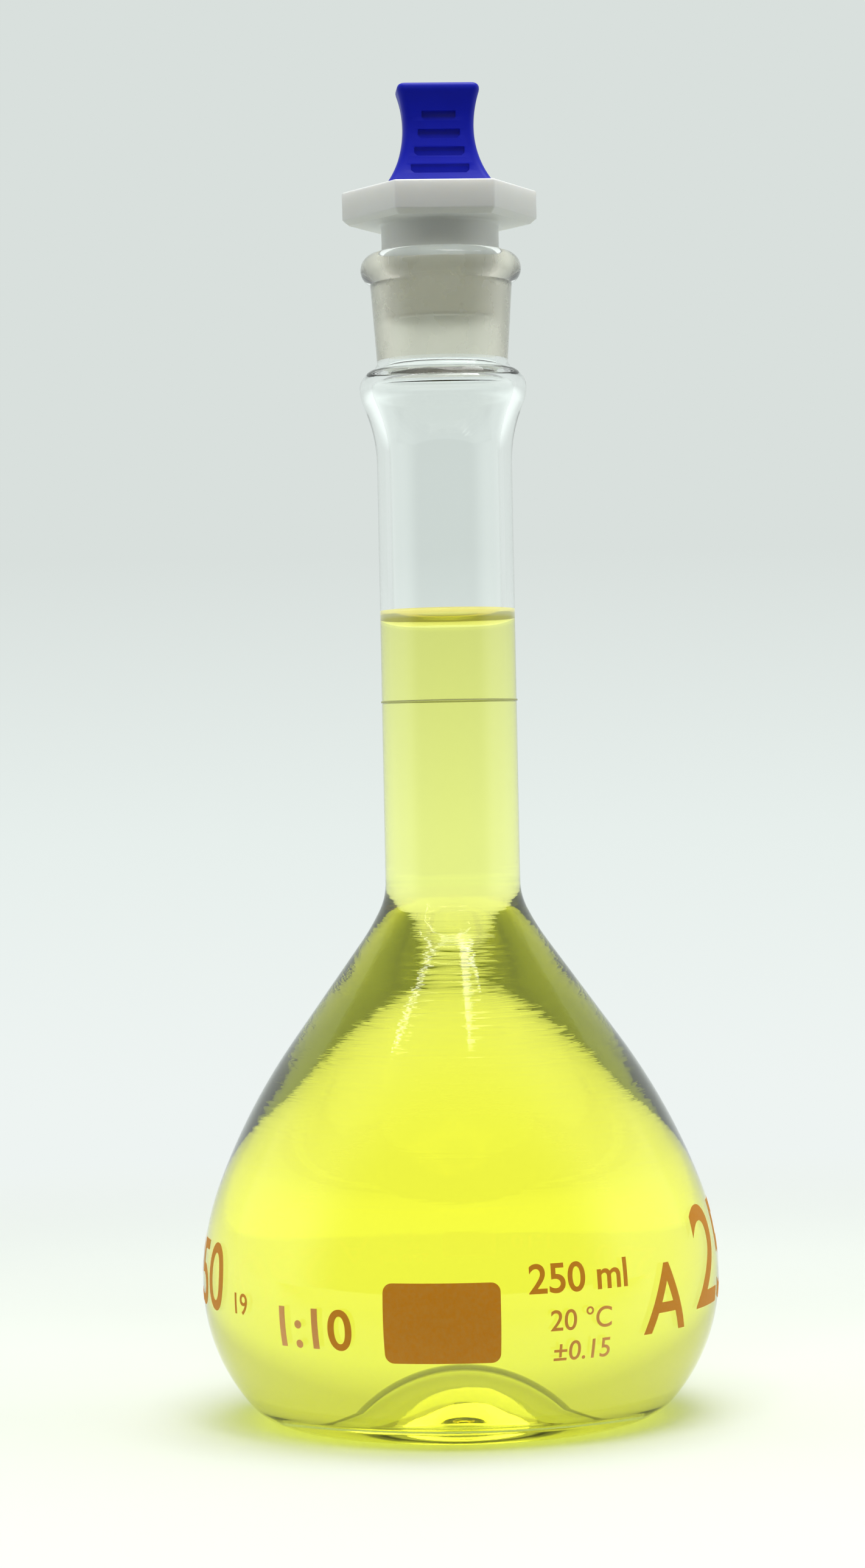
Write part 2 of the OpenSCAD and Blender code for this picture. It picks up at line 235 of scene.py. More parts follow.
def base_side(inset, floor_z, heel, thick=0.0):
    """Pushed-up middle, flat, foot, heel and lower side, up to the widest circle."""
    beta = heel_turn(inset, floor_z, heel)
    swing = 2 * math.degrees(math.atan((PUNT_H - FOOT_RECESS) / PUNT_R))
    top = (0, PUNT_H + thick)
    dome = arc(top, 0, PUNT_R / sin_of(swing) - PUNT_HOLLOW_R + thick, -swing, step=1.0)
    dome += arc(dome[-1], -swing, PUNT_HOLLOW_R - thick, swing, step=2.0)
    start = (heel_start(inset, floor_z, heel), floor_z)
    ledge = []
    if not thick:
        foot_r = start[0] - FOOT_RING_W
        ledge = [(foot_r - FOOT_RECESS, dome[-1][1]), (foot_r, floor_z)]
    corner = arc(start, 0, heel, beta)
    side = arc(corner[-1], beta, LOWER_R - inset, 90 - beta)
    return [top] + dome + ledge + [start] + corner + side


def shoulder_side(inset, neck_r):
    """Belly, flank, cone, saddle and throat, from the widest circle to the neck."""
    belly = arc((BULB_R - inset, BULB_Z), 90, BELLY_R - inset, BELLY_TURN)
    flank = arc(belly[-1], 90 + BELLY_TURN, FLANK_R - inset, SHOULDER_ANGLE - BELLY_TURN, step=0.6)
    saddle_in = (SADDLE_R + inset) * (cos_of(THROAT_TURN) - cos_of(SHOULDER_ANGLE))
    throat_in = (THROAT_R + inset) * (1 - cos_of(THROAT_TURN))
    cone_l = (flank[-1][0] - neck_r - saddle_in - throat_in) / sin_of(SHOULDER_ANGLE)
    cone = [
        (
            flank[-1][0] - cone_l * i / CONE_STEPS * sin_of(SHOULDER_ANGLE),
            flank[-1][1] + cone_l * i / CONE_STEPS * cos_of(SHOULDER_ANGLE),
        )
        for i in range(1, CONE_STEPS + 1)
    ]
    bend = THROAT_TURN - SHOULDER_ANGLE
    saddle = arc(cone[-1], 90 + SHOULDER_ANGLE, SADDLE_R + inset, bend, step=1)
    throat = arc(saddle[-1], 90 + THROAT_TURN, THROAT_R + inset, -THROAT_TURN)
    return belly + flank + cone + saddle + throat


def bulge_side(start, peak_r, end_r, in_r, low_r, high_r, out_r):
    """Mixing bulge between neck and socket, traced upwards."""
    lean = math.degrees(math.atan(SOCKET_SLOPE))
    rise = math.degrees(math.acos(1 - (peak_r - start[0]) / (in_r + low_r)))
    drop = high_r + out_r * cos_of(lean) - peak_r + end_r
    fall = math.degrees(math.acos(drop / (high_r + out_r)))
    foot = arc(start, 90, in_r, -rise)
    crown = arc(foot[-1], 90 - rise, low_r, rise, step=3)
    brow = arc(crown[-1], 90, high_r, fall, step=5)
    nape = arc(brow[-1], 90 + fall, out_r, -fall - lean, step=5)
    return [start] + foot + crown + brow + nape


outer_bulb = base_side(0, 0, HEEL_R) + shoulder_side(0, NECK_R)
inner_bulb = base_side(BULB_WALL, FOOT_RECESS + BASE_WALL, INNER_HEEL_R, BASE_WALL)
inner_bulb += shoulder_side(BULB_WALL, BORE_R)
neck_top_z = outer_bulb[-1][1] + NECK_L
socket_end_r = SOCKET_R - SOCKET_L * SOCKET_SLOPE
outer_bulge = bulge_side(
    (NECK_R, neck_top_z), BULGE_R, socket_end_r + SOCKET_WALL, FLARE_R, CROWN_R, BROW_R, NAPE_R
)
inner_bulge = bulge_side(
    (BORE_R, neck_top_z),
    BULGE_R - BULGE_WALL,
    socket_end_r,
    FLARE_R + BULGE_WALL,
    CROWN_R - BULGE_WALL,
    BROW_R - BULGE_WALL,
    NAPE_R + BULGE_WALL,
)
bead_centre = (SOCKET_R + SOCKET_WALL + BEAD_OUT - BEAD_R, RIM_Z - BEAD_R)
bead_angle = math.degrees(math.acos((SOCKET_R + SOCKET_WALL - bead_centre[0]) / BEAD_R))
bead_start = (
    bead_centre[0] + BEAD_R * cos_of(bead_angle),
    bead_centre[1] - BEAD_R * sin_of(bead_angle),
)
bead = [bead_start] + arc(bead_start, 90 - bead_angle, BEAD_R, 90 + bead_angle, step=5)
mouth = [(SOCKET_R + MOUTH_ROUND, RIM_Z)]
mouth += arc(mouth[0], 180, MOUTH_ROUND, 90, step=15)
socket = straight(mouth[-1], inner_bulge[-1], SOCKET_STEPS)


def turning_tree():
    """Geometry nodes that turn a profile, drawn in the XZ plane, about the Z axis."""
    tree = bpy.data.node_groups.new("glass lathe", "GeometryNodeTree")
    face = tree.interface
    face.new_socket("Profile", in_out="INPUT", socket_type="NodeSocketGeometry")
    for name in ("Turns", "Seed"):
        face.new_socket(name, in_out="INPUT", socket_type="NodeSocketInt")
    for name in ("Ripple depth", "Ripple length", "Ripple run"):
        face.new_socket(name, in_out="INPUT", socket_type="NodeSocketFloat")
    face.new_socket("Material", in_out="INPUT", socket_type="NodeSocketMaterial")
    face.new_socket("Turned", in_out="OUTPUT", socket_type="NodeSocketGeometry")
    given = add(tree, "NodeGroupInput").outputs
    size = add(tree, "GeometryNodeAttributeDomainSize", {"Geometry": given["Profile"]})
    points = size.outputs["Point Count"]
    rows = calc(tree, "ADD", given["Turns"], 1.0)
    sheet = add(
        tree,
        "GeometryNodeMeshGrid",
        {"Size X": 1.0, "Size Y": 1.0, "Vertices X": points, "Vertices Y": rows},
    )
    place = add(tree, "GeometryNodeInputPosition").outputs[0]
    share = add(tree, "ShaderNodeSeparateXYZ", {0: place}).outputs
    along = calc(tree, "ADD", share["X"], 0.5)
    last = calc(tree, "SUBTRACT", points, 1.0)
    column = calc(tree, "MULTIPLY", along, last)
    column = calc(tree, "ROUND", column)
    point = add(
        tree,
        "GeometryNodeSampleIndex",
        {"Geometry": given["Profile"], "Value": place, "Index": column},
        data_type="FLOAT_VECTOR",
    ).outputs[0]
    mask = add(
        tree, "GeometryNodeInputNamedAttribute", {"Name": "ripple"}, data_type="FLOAT"
    ).outputs[0]
    mask = add(
        tree,
        "GeometryNodeSampleIndex",
        {"Geometry": given["Profile"], "Value": mask, "Index": column},
        data_type="FLOAT",
    ).outputs[0]
    around = calc(tree, "ADD", share["Y"], 0.5)
    angle = calc(tree, "MULTIPLY", around, math.tau)
    turned = add(
        tree, "ShaderNodeVectorRotate", {"Vector": point, "Angle": angle}, rotation_type="Z_AXIS"
    ).outputs[0]
    run = calc(tree, "DIVIDE", 1.0, given["Ripple run"])
    climb = calc(tree, "DIVIDE", 1.0, given["Ripple length"])
    stretch = add(tree, "ShaderNodeCombineXYZ", {0: run, 1: run, 2: climb}).outputs[0]
    wave_place = add(
        tree, "ShaderNodeVectorMath", {0: turned, 1: stretch}, operation="MULTIPLY"
    ).outputs[0]
    wave = add(
        tree,
        "ShaderNodeTexNoise",
        {"Vector": wave_place, "W": given["Seed"], "Scale": 1.0, "Detail": 2.0, "Roughness": 0.6},
        noise_dimensions="4D",
    ).outputs[0]
    wave = calc(tree, "SUBTRACT", wave, 0.5)
    depth = calc(tree, "MULTIPLY", mask, given["Ripple depth"])
    push = calc(tree, "MULTIPLY", wave, depth)
    flat = add(tree, "ShaderNodeVectorMath", {0: turned, 1: (1, 1, 0)}, operation="MULTIPLY").outputs[0]
    outward = add(tree, "ShaderNodeVectorMath", {0: flat}, operation="NORMALIZE").outputs[0]
    push = add(tree, "ShaderNodeVectorMath", {0: outward, "Scale": push}, operation="SCALE").outputs[0]
    made = add(
        tree,
        "GeometryNodeSetPosition",
        {"Geometry": sheet.outputs["Mesh"], "Position": turned, "Offset": push},
    ).outputs[0]
    made = add(
        tree, "GeometryNodeMergeByDistance", {"Geometry": made, "Distance": WELD_UNDER}
    ).outputs[0]
    made = add(tree, "GeometryNodeRealizeInstances", {"Geometry": made}).outputs[0]
    made = add(
        tree, "GeometryNodeSetMaterial", {"Geometry": made, "Material": given["Material"]}
    ).outputs[0]
    out = add(tree, "NodeGroupOutput")
    tree.links.new(made, out.inputs["Turned"])
    return tree


LATHE = turning_tree()


def turn_on_lathe(name, profile, material, turns=GLASS_TURNS, ripples=None, depth=0.0):
    """A closed turned piece from a profile, a list of radii and heights in millimetres. It has
    ripples where the mask is 1."""
    mesh = bpy.data.meshes.new(name)
    mesh.from_pydata(
        [(r * MM, 0, z * MM) for r, z in profile], [(i, i + 1) for i in range(len(profile) - 1)], []
    )
    mask = mesh.attributes.new("ripple", "FLOAT", "POINT")
    mask.data.foreach_set("value", ripples or [0.0] * len(profile))
    piece = bpy.data.objects.new(name, mesh)
    bpy.context.scene.collection.objects.link(piece)
    modifier = piece.modifiers.new("lathe", "NODES")
    modifier.node_group = LATHE
    values = {
        "Turns": turns,
        "Seed": RIPPLE_SEED,
        "Ripple depth": depth * MM,
        "Ripple length": RIPPLE_LENGTH * MM,
        "Ripple run": RIPPLE_RUN * MM,
        "Material": material,
    }
    for item in LATHE.interface.items_tree:
        if item.name in values:
            modifier[item.identifier] = values[item.name]
    bpy.context.view_layer.update()
    turned = bpy.data.meshes.new_from_object(piece.evaluated_get(bpy.context.evaluated_depsgraph_get()))
    piece.modifiers.remove(modifier)
    piece.data = turned
    skin = bmesh.new()
    skin.from_mesh(turned)
    bmesh.ops.recalc_face_normals(skin, faces=skin.faces)
    skin.to_mesh(turned)
    skin.free()
    turned.shade_smooth()
    turned.set_sharp_from_angle(angle=SHARP_OVER)
    dress(turned, material)
    return piece


def glass_material():
    """Borosilicate 3.3 glass, clear and colourless. Blowing leaves fine drag lines, about a
    millimetre apart, inside the shoulder, and they break up what is seen through it."""
    material, tree = blank_material("borosilicate glass")
    place = add(tree, "ShaderNodeTexCoord").outputs["Object"]
    stretch = (1 / (DRAG_RUN * MM), 1 / (DRAG_RUN * MM), 1 / (DRAG_LENGTH * MM))
    drag_place = add(
        tree, "ShaderNodeVectorMath", {0: place, 1: stretch}, operation="MULTIPLY"
    ).outputs[0]
    drag = add(
        tree, "ShaderNodeTexNoise", {"Vector": drag_place, "Scale": 1.0, "Detail": 2.0}
    ).outputs[0]
    height = add(tree, "ShaderNodeSeparateXYZ", {0: place}).outputs["Z"]
    low, full, fade, high = [z * MM for z in DRAG_ZONE]
    marked = ramp(tree, height, low, full)
    marked = ramp(tree, height, fade, high, marked, 0.0)
    bump = add(
        tree,
        "ShaderNodeBump",
        {"Height": drag, "Strength": marked, "Distance": DRAG_DEPTH * MM},
    ).outputs[0]
    body = add(
        tree,
        "ShaderNodeBsdfPrincipled",
        {
            "Base Color": linear(GLASS_COLOUR),
            "Roughness": 0.0,
            "IOR": GLASS_IOR,
            "Transmission Weight": 1.0,
            "Normal": bump,
        },
    )
    surface = let_shadows_through(tree, body, GLASS_SHADOW)
    add(tree, "ShaderNodeOutputMaterial", {"Surface": surface})
    return material


glass = glass_material()
outer_neck = straight(outer_bulb[-1], outer_bulge[0], NECK_STEPS)[:-1]
inner_neck = straight(inner_bulb[-1], inner_bulge[0], NECK_STEPS)[:-1]
outside = outer_bulb + outer_neck + outer_bulge + bead
inside = inner_bulb + inner_neck + inner_bulge
glass_profile = outside + mouth + socket[:-1] + inside[::-1]


def tooled(point):
    """How much of the tooling's ripple a point carries: the shoulder, fading out at its ends."""
    low, full, fade, high = TOOLED_ZONE
    rise = min(max((point[1] - low) / (full - low), 0), 1)
    fall = min(max((high - point[1]) / (high - fade), 0), 1)
    return rise * fall


flask_body = turn_on_lathe(
    "flask_glass",
    glass_profile,
    glass,
    ripples=[tooled(p) for p in glass_profile],
    depth=RIPPLE_DEPTH,
)
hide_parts("flask_body")
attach(flask_body, "flask")

# ---- Ground socket -------------------------------------------------------------------------
# The bore of the socket is ground matt to a 1:10 taper. It is a thin skin of fine pits in the
# glass, milky and faintly cream, and clearer in patches where the stopper has rubbed it.
GROUND_COLOUR = "FFFCF4"
GROUND_SCATTER = 0.3
GROUND_RUBBED = 0.24
GROUND_DEEP = 0.05
GROUND_SKIN = 0.015
GROUND_FROM = 1.6
GROUND_SHADOW = "EDEBE0"
GROUND_TURNS = 128


def ground_material():
    """Glass ground with grit of about 0.1 mm. The grain is drawn three times coarser, as the
    real one is too fine to show."""
    material, tree = blank_material("ground glass")
    place = add(tree, "ShaderNodeTexCoord").outputs["Object"]
    patches = add(
        tree, "ShaderNodeTexNoise", {"Vector": place, "Scale": 240.0, "Detail": 3.0}
    ).outputs[0]
    rough = ramp(tree, patches, 0.4, 0.6, GROUND_RUBBED, GROUND_SCATTER)
    pits = add(tree, "ShaderNodeTexNoise", {"Vector": place, "Scale": 3300.0, "Detail": 2.0}).outputs[0]
    bump = add(
        tree, "ShaderNodeBump", {"Height": pits, "Strength": 0.4, "Distance": 0.03 * MM}
    ).outputs[0]
    body = add(
        tree,
        "ShaderNodeBsdfPrincipled",
        {
            "Base Color": linear(GROUND_COLOUR),
            "Roughness": rough,
            "IOR": GLASS_IOR,
            "Transmission Weight": 1.0,
            "Normal": bump,
        },
    )
    surface = let_shadows_through(tree, body, GROUND_SHADOW)
    add(tree, "ShaderNodeOutputMaterial", {"Surface": surface})
    return material


ground_line = [p for p in socket if p[1] < RIM_Z - GROUND_FROM]
ground_profile = [(r + GROUND_DEEP, z) for r, z in ground_line]
ground_profile += [(r + GROUND_SKIN, z) for r, z in ground_line[::-1]]
ground_profile.append(ground_profile[0])
ground = turn_on_lathe("socket_ground_skin", ground_profile, ground_material(), turns=GROUND_TURNS)
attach(ground, "flask")

# ---- Solution ------------------------------------------------------------------------------
# A clear yellow water solution, filled to a little above the ring. It wets the glass, so its
# surface climbs at the wall.
LIQUID_DIP = 0.12
LIQUID_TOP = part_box("solution")[1].z / MM
MENISCUS_RISE = 3.1
# The meniscus colours are painted light and shade, and its emission is a painted glow.
MENISCUS_PAINTED_OLIVE = "E6E272"
MENISCUS_PAINTED_STREAK = "F6F070"
MENISCUS_PALE = "FFFDE4"
MENISCUS_CLEAR = 0.4
MENISCUS_PAINTED_GLOW = 0.26
MENISCUS_FLAT = 0.985
MENISCUS_PALE_FROM = 1.5
MENISCUS_PALE_TO = 0.9
MENISCUS_POINTS = 36
MENISCUS_SWING = 89.2
MENISCUS_EASE = 0.8
MENISCUS_INNER_R = 0.3
LIQUID_IOR = 1.333
LIQUID_TINT = "FFFFB4"
LIQUID_DENSITY = 26.0
LIQUID_COLOUR = "FFFD00"
LIQUID_SHADOW = "DADCB4"
LIQUID_TURNS = 192
LIQUID_STEPS = 12


def liquid_material():
    """Dye in water. Two passes through the surface and the length of the way through both take
    blue away, so the neck is a paler yellow than the bulb."""
    material, tree = blank_material("yellow water solution")
    body = add(
        tree,
        "ShaderNodeBsdfPrincipled",
        {
            "Base Color": linear(LIQUID_TINT),
            "Roughness": 0.0,
            "IOR": LIQUID_IOR,
            "Transmission Weight": 1.0,
        },
    )
    surface = let_shadows_through(tree, body, LIQUID_SHADOW)
    depth = add(
        tree,
        "ShaderNodeVolumeAbsorption",
        {"Color": linear(LIQUID_COLOUR), "Density": LIQUID_DENSITY},
    )
    add(tree, "ShaderNodeOutputMaterial", {"Surface": surface, "Volume": depth.outputs[0]})
    return material


def blend(tree, factor, low, high):
    """A colour that goes from low to high by a factor."""
    inputs = {"Factor": factor, 6: low, 7: high}
    return add(tree, "ShaderNodeMix", inputs, data_type="RGBA").outputs[2]


def meniscus_material():
    """The liquid's edge where it climbs the glass. Light runs along it through much more dye
    than elsewhere, so it looks a band of deep olive yellow. That band and its pale steep top
    are painted light in the base colour. The emission is a painted glow that stands for the
    guided light, which takes more bounces than are traced."""
    material, tree = blank_material("solution meniscus")
    place = add(tree, "ShaderNodeTexCoord").outputs["Object"]
    streaks = add(
        tree, "ShaderNodeTexNoise", {"Vector": place, "Scale": 420.0, "Detail": 2.0}
    ).outputs[0]
    colour = blend(tree, streaks, linear(MENISCUS_PAINTED_OLIVE), linear(MENISCUS_PAINTED_STREAK))
    height = add(tree, "ShaderNodeSeparateXYZ", {0: place}).outputs["Z"]
    low = (LIQUID_TOP - MENISCUS_PALE_FROM) * MM
    high = (LIQUID_TOP - MENISCUS_PALE_TO) * MM
    steep = ramp(tree, height, low, high)
    colour = blend(tree, steep, colour, linear(MENISCUS_PALE))
    body = add(
        tree,
        "ShaderNodeBsdfPrincipled",
        {
            "Base Color": colour,
            "Roughness": 0.05,
            "IOR": LIQUID_IOR,
            "Transmission Weight": MENISCUS_CLEAR,
            "Emission Color": colour,
            "Emission Strength": MENISCUS_PAINTED_GLOW,
        },
    )
    surface = let_shadows_through(tree, body, LIQUID_SHADOW)
    add(tree, "ShaderNodeOutputMaterial", {"Surface": surface})
    return material


def meniscus(contact_z, wall_r):
    """Liquid surface from the wall to the axis, the curve of a liquid that wets the wall."""
    scale = MENISCUS_RISE / math.sqrt(2)
    points = []
    for i in range(MENISCUS_POINTS):
        share = (i / (MENISCUS_POINTS - 1)) ** MENISCUS_EASE
        half = math.radians(90 - MENISCUS_SWING * share) / 2
        reach = math.acosh(1 / math.sin(half)) - math.acosh(math.sqrt(2))
        reach -= 2 * (math.cos(half) - math.cos(math.radians(45)))
        r = wall_r - scale * reach
        if r > MENISCUS_INNER_R:
            points.append((r, contact_z - MENISCUS_RISE + 2 * scale * math.sin(half)))
    return points + [(0, points[-1][1])]


wall_r = BORE_R + LIQUID_DIP
liquid_side = base_side(
    BULB_WALL - LIQUID_DIP,
    FOOT_RECESS + BASE_WALL - LIQUID_DIP,
    INNER_HEEL_R + LIQUID_DIP,
    BASE_WALL - LIQUID_DIP,
)
liquid_side += shoulder_side(BULB_WALL - LIQUID_DIP, wall_r)
liquid_side += straight(liquid_side[-1], (wall_r, LIQUID_TOP), LIQUID_STEPS)[:-1]
solution = turn_on_lathe(
    "solution_liquid",
    liquid_side + meniscus(LIQUID_TOP, wall_r),
    liquid_material(),
    turns=LIQUID_TURNS,
)
# Faces of the climbing edge take the meniscus material, with its painted light and glow.
solution.data.materials.append(meniscus_material())
for polygon in solution.data.polygons:
    slope = polygon.normal.z
    if polygon.center.z > (LIQUID_TOP - MENISCUS_RISE) * MM and 0 < slope < MENISCUS_FLAT:
        polygon.material_index = 1
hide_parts("solution")
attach(solution, "flask")

# ---- Fired marks ---------------------------------------------------------------------------
# Brown glass enamel, screened onto the bulb and fired in. The writing patch is a solid oblong
# with a grainy face, and round it stand capacity, temperature, tolerance, joint and class.
# The enamel colours are set much brighter than the real brown: partly its own colour, partly painted
# light in place of front light the lamps don't give.
ENAMEL_COLOUR = "FCA41E"
ENAMEL_LIGHT = "FCB84A"
ENAMEL_CLEAR = 0.25
ENAMEL_SUNK = 0.05
ENAMEL_PROUD = 0.02
CUT_STEP = 0.7
SIDE_FROM_R = 24
DIGIT_SHARE = 0.69

low_side = [p for p in outer_bulb if p[0] > SIDE_FROM_R]
climbs = [0.0]
for before, after in zip(low_side, low_side[1:]):
    climbs.append(climbs[-1] + math.dist(before, after))


def side_at(climb):
    """Radius, height and outward normal of the bulb's side at a distance along it."""
    i = max(j for j in range(len(climbs) - 1) if j == 0 or climbs[j] <= climb)
    a, b = low_side[i], low_side[i + 1]
    t = (climb - climbs[i]) / (climbs[i + 1] - climbs[i])
    dr, dz = (b[0] - a[0]), (b[1] - a[1])
    length = math.hypot(dr, dz)
    return a[0] + dr * t, a[1] + dz * t, dz / length, -dr / length


def climb_at(z):
    """Distance along the bulb's side at which it reaches a height."""
    for i, (a, b) in enumerate(zip(low_side, low_side[1:])):
        if a[1] <= z < b[1]:
            return climbs[i] + (climbs[i + 1] - climbs[i]) * (z - a[1]) / (b[1] - a[1])
    return climbs[-1]


def fire_on(name, flat, azimuth, middle_z, material, proud=ENAMEL_PROUD):
    """Lays a flat mesh, drawn in millimetres about its middle, onto the bulb as a thin solid."""
    for axis in (Vector((1, 0, 0)), Vector((0, 1, 0))):
        low = min(v.co.dot(axis) for v in flat.verts)
        high = max(v.co.dot(axis) for v in flat.verts)
        for i in range(1, math.ceil((high - low) / CUT_STEP)):
            everything = flat.verts[:] + flat.edges[:] + flat.faces[:]
            bmesh.ops.bisect_plane(
                flat, geom=everything, plane_co=axis * (low + i * CUT_STEP), plane_no=axis
            )
    bmesh.ops.triangulate(flat, faces=[f for f in flat.faces if len(f.verts) > 4])
    top = bmesh.ops.extrude_face_region(flat, geom=flat.faces[:])["geom"]
    for vert in (g for g in top if isinstance(g, bmesh.types.BMVert)):
        vert.co.z = 1
    middle = climb_at(middle_z)
    for vert in flat.verts:
        r, z, nr, nz = side_at(middle + vert.co.y)
        lift = proud if vert.co.z > 0.5 else -ENAMEL_SUNK
        angle = math.radians(azimuth) + vert.co.x / side_at(middle)[0]
        reach = (r + nr * lift) * MM
        vert.co = (reach * math.sin(angle), -reach * math.cos(angle), (z + nz * lift) * MM)
    bmesh.ops.recalc_face_normals(flat, faces=flat.faces)
    mesh = bpy.data.meshes.new(name)
    flat.to_mesh(mesh)
    flat.free()
    mesh.shade_smooth()
    mesh.set_sharp_from_angle(angle=SHARP_OVER)
    mesh.materials.append(material)
    piece = bpy.data.objects.new(name, mesh)
    bpy.context.scene.collection.objects.link(piece)
    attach(piece, "flask")
    return piece


def enamel_material(name, grain):
    """Fired ceramic ink. Its pigment lies in clots of about half a millimetre."""
    material, tree = blank_material(name)
    place = add(tree, "ShaderNodeTexCoord").outputs["Object"]
    clots = add(
        tree,
        "ShaderNodeTexNoise",
        {"Vector": place, "Scale": 1400.0, "Detail": 4.0, "Roughness": 0.7},
    ).outputs[0]
    share = ramp(tree, clots, 0.35, 0.7, 0.0, grain)
    colour = blend(tree, share, linear(ENAMEL_COLOUR), linear(ENAMEL_LIGHT))
    bump = add(
        tree, "ShaderNodeBump", {"Height": clots, "Strength": 0.25, "Distance": 0.03 * MM}
    ).outputs[0]
    body = add(
        tree,
        "ShaderNodeBsdfPrincipled",
        {
            "Base Color": colour,
            "Roughness": 0.6,
            "IOR": 1.5,
            "Specular IOR Level": 0.2,
            "Transmission Weight": ENAMEL_CLEAR,
            "Normal": bump,
        },
    )
    add(tree, "ShaderNodeOutputMaterial", {"Surface": body.outputs[0]})
    return material


patch_enamel = enamel_material("fired writing enamel", 0.6)
print_enamel = enamel_material("fired print enamel", 0.3)

PATCH_W = 17.8
PATCH_H = 12.2
PATCH_CORNER = 1.4
PATCH_Z = 20.2
PATCH_PROUD = 0.06
PATCH_STEP = 15

outline = []
for turn, (sx, sy) in enumerate(((1, -1), (1, 1), (-1, 1), (-1, -1))):
    for i in range(90 // PATCH_STEP + 1):
        a = math.radians(-90 + turn * 90 + i * PATCH_STEP)
        outline.append(
            (
                sx * (PATCH_W / 2 - PATCH_CORNER) + PATCH_CORNER * math.cos(a),
                sy * (PATCH_H / 2 - PATCH_CORNER) + PATCH_CORNER * math.sin(a),
                0,
            )
        )
flat = bmesh.new()
flat.faces.new([flat.verts.new(p) for p in outline])
patch = fire_on("marking_patch_enamel", flat, 0, PATCH_Z, patch_enamel, PATCH_PROUD)
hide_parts("marking_patch")


def number_mark(name, words, azimuth, middle_z, height, bold):
    """A plain number, screened on at an azimuth in degrees and a level. Its height is that of
    its digits, and bold is a share of it by which its strokes are widened."""
    curve = bpy.data.curves.new(name, "FONT")
    curve.body = words
    curve.size = height / DIGIT_SHARE
    curve.offset = bold * height
    curve.align_x = "CENTER"
    curve.align_y = "CENTER"
    text = bpy.data.objects.new(name, curve)
    bpy.context.scene.collection.objects.link(text)
    bpy.context.view_layer.update()
    mesh = bpy.data.meshes.new_from_object(text.evaluated_get(bpy.context.evaluated_depsgraph_get()))
    bpy.data.objects.remove(text)
    flat = bmesh.new()
    flat.from_mesh(mesh)
    bmesh.ops.remove_doubles(flat, verts=flat.verts, dist=1e-4)
    bmesh.ops.dissolve_limit(flat, angle_limit=0.01, verts=flat.verts, edges=flat.edges)
    bpy.data.meshes.remove(mesh)
    return fire_on(name, flat, azimuth, middle_z, print_enamel)


number_mark("print_capacity", "250 ml", azimuth=30.5, middle_z=26.2, height=4.3, bold=0.02)
number_mark("print_temperature", "20 °C", azimuth=30.5, middle_z=19.9, height=3.1, bold=0.008)
number_mark("print_tolerance", "±0.15", azimuth=31, middle_z=15.2, height=3.0, bold=0.008)
number_mark("print_joint", "19", azimuth=-52, middle_z=21.2, height=3.2, bold=0.008)
number_mark("print_taper", "1:10", azimuth=-30, middle_z=18.6, height=6.0, bold=0.02)
number_mark("print_class", "A", azimuth=54.5, middle_z=21.0, height=10.4, bold=0.012)
number_mark("print_volume_right", "250", azimuth=90, middle_z=25.5, height=15.5, bold=0.012)
number_mark("print_volume_left", "250", azimuth=-75, middle_z=24.0, height=10.2, bold=0.012)

# ---- Graduation ring -----------------------------------------------------------------------
# The 250 ml line, a hair-thin fired ring that runs right round the neck. Its ink is so thin
# that about half of the light goes through.
RING_COLOUR = "B4B46A"
RING_LIGHT = "DCDCA4"
RING_THIN = 0.5

ring_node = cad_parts["graduation_ring"]
ring_ink, tree = blank_material("fired ring ink")
place = add(tree, "ShaderNodeTexCoord").outputs["Object"]
fade = add(tree, "ShaderNodeTexNoise", {"Vector": place, "Scale": 260.0, "Detail": 3.0}).outputs[0]
ring_colour = blend(tree, fade, linear(RING_COLOUR), linear(RING_LIGHT))
ring_body = add(
    tree, "ShaderNodeBsdfPrincipled", {"Base Color": ring_colour, "Roughness": 0.4, "IOR": 1.5}
)
ring_gap = add(tree, "ShaderNodeBsdfTransparent")
ring_thin = add(
    tree, "ShaderNodeMixShader", {0: RING_THIN, 1: ring_body.outputs[0], 2: ring_gap.outputs[0]}
)
add(tree, "ShaderNodeOutputMaterial", {"Surface": ring_thin.outputs[0]})
ring_node.data.materials.clear()
ring_node.data.materials.append(ring_ink)

# ---- Stopper plug --------------------------------------------------------------------------
# Injection-moulded white polyethylene: a six-sided flange to turn it by, on a hollow shank
# that tapers 1:10 to seat in the ground socket. The plastic is waxy and lets a little light in.
STOPPER_TURN = math.radians(8)
FLANGE_FLATS = 27
FLANGE_H = 5.3
FLANGE_BEVEL = 0.9
FLANGE_EDGE = 0.3
FLANGE_CORNER = 0.5
SHANK_L = 4.5
PLUG_L = 10.8
PLUG_WALL = 1.6
PLUG_ROUND = 0.6
SEAT_GAP = 0.05
STEM_L = 7
STEM_GAP = 0.05
WEB_H = 2
HOLLOW_ROUND = 0.8
TIP_CHAMFER = 0.2
SHANK_SUNK = 1
PLUG_TURNS = 96
EDGE_STEP = 18
# Inset, and height from the top of the bevel, of the sections that round the bevel off.
BEVEL_SOFT = ((0.12, -0.16), (0.03, -0.04), (0, 0.1))
# The plug's white is its own colour, set a little lighter as painted light in place of front light the
# lamps don't give.
PLUG_COLOUR = "F1F2ED"
PLUG_LIGHT = "F6F7F3"
PE_WEIGHT = 0.6
PE_SCALE = 1.8

flange_z = RIM_Z + SHANK_L
flange_top_z = flange_z + FLANGE_H
tip_z = RIM_Z - PLUG_L
hollow_z = flange_top_z - STEM_L - STEM_GAP - WEB_H


def socket_radius(z):
    return SOCKET_R - (RIM_Z - z) * SOCKET_SLOPE


